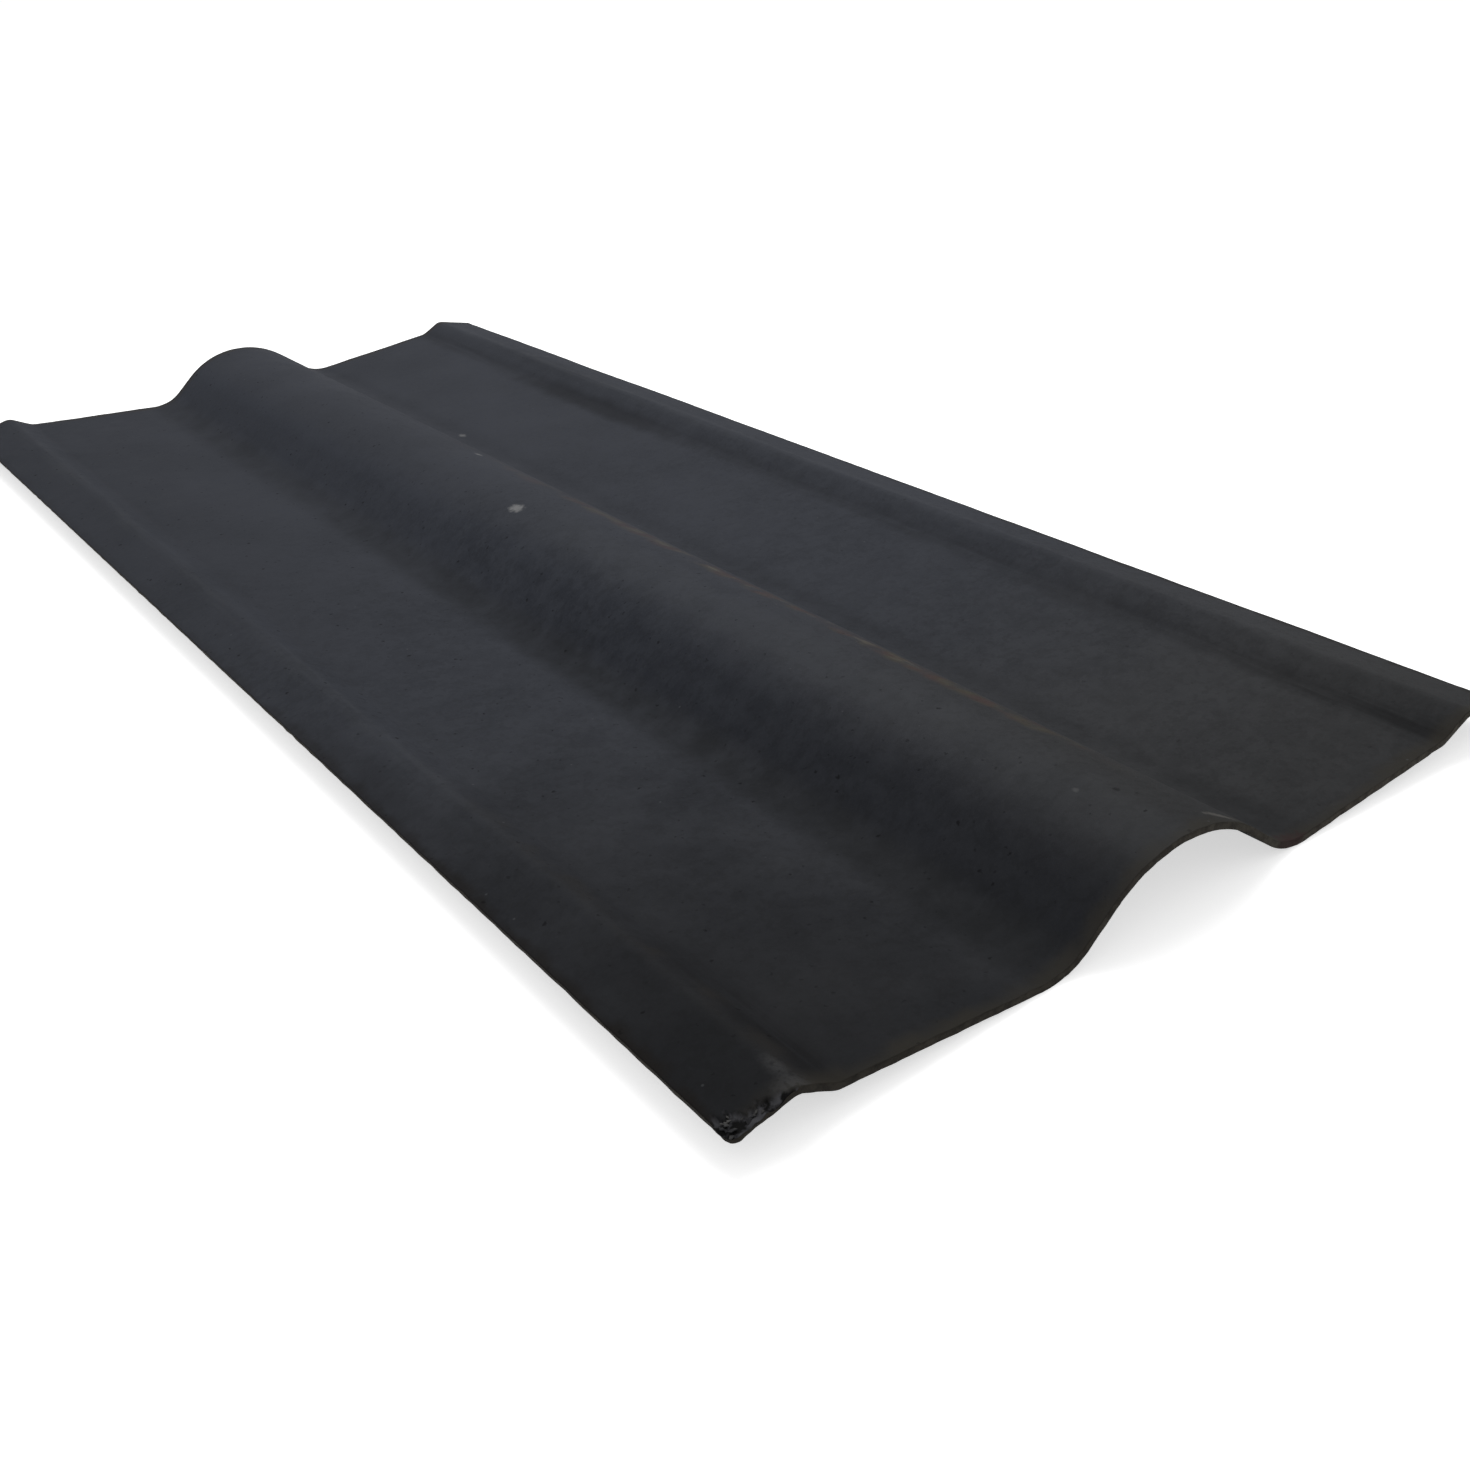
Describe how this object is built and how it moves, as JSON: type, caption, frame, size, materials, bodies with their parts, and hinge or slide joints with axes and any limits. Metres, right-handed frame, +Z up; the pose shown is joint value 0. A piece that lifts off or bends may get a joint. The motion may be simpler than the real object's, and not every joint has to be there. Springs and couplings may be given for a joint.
{
  "type": "roof ridge cap",
  "caption": "Long moulded bitumen-fibre ridge cap with a rounded roll down its middle, low wings and beaded long edges, laid over the joint at the top of a corrugated roof.",
  "frame": {"origin": "on the floor, below the middle of the cap as it lies on the two feet of its roll", "axes": "+X across the cap, +Y along the ridge, +Z up"},
  "size_m": [0.42, 1, 0.0345],
  "materials": {
    "bitumen_fibre": "matte"
  },
  "bodies": {
    "root": {"ridge_cap": "bitumen_fibre"}
  },
  "joints": []
}
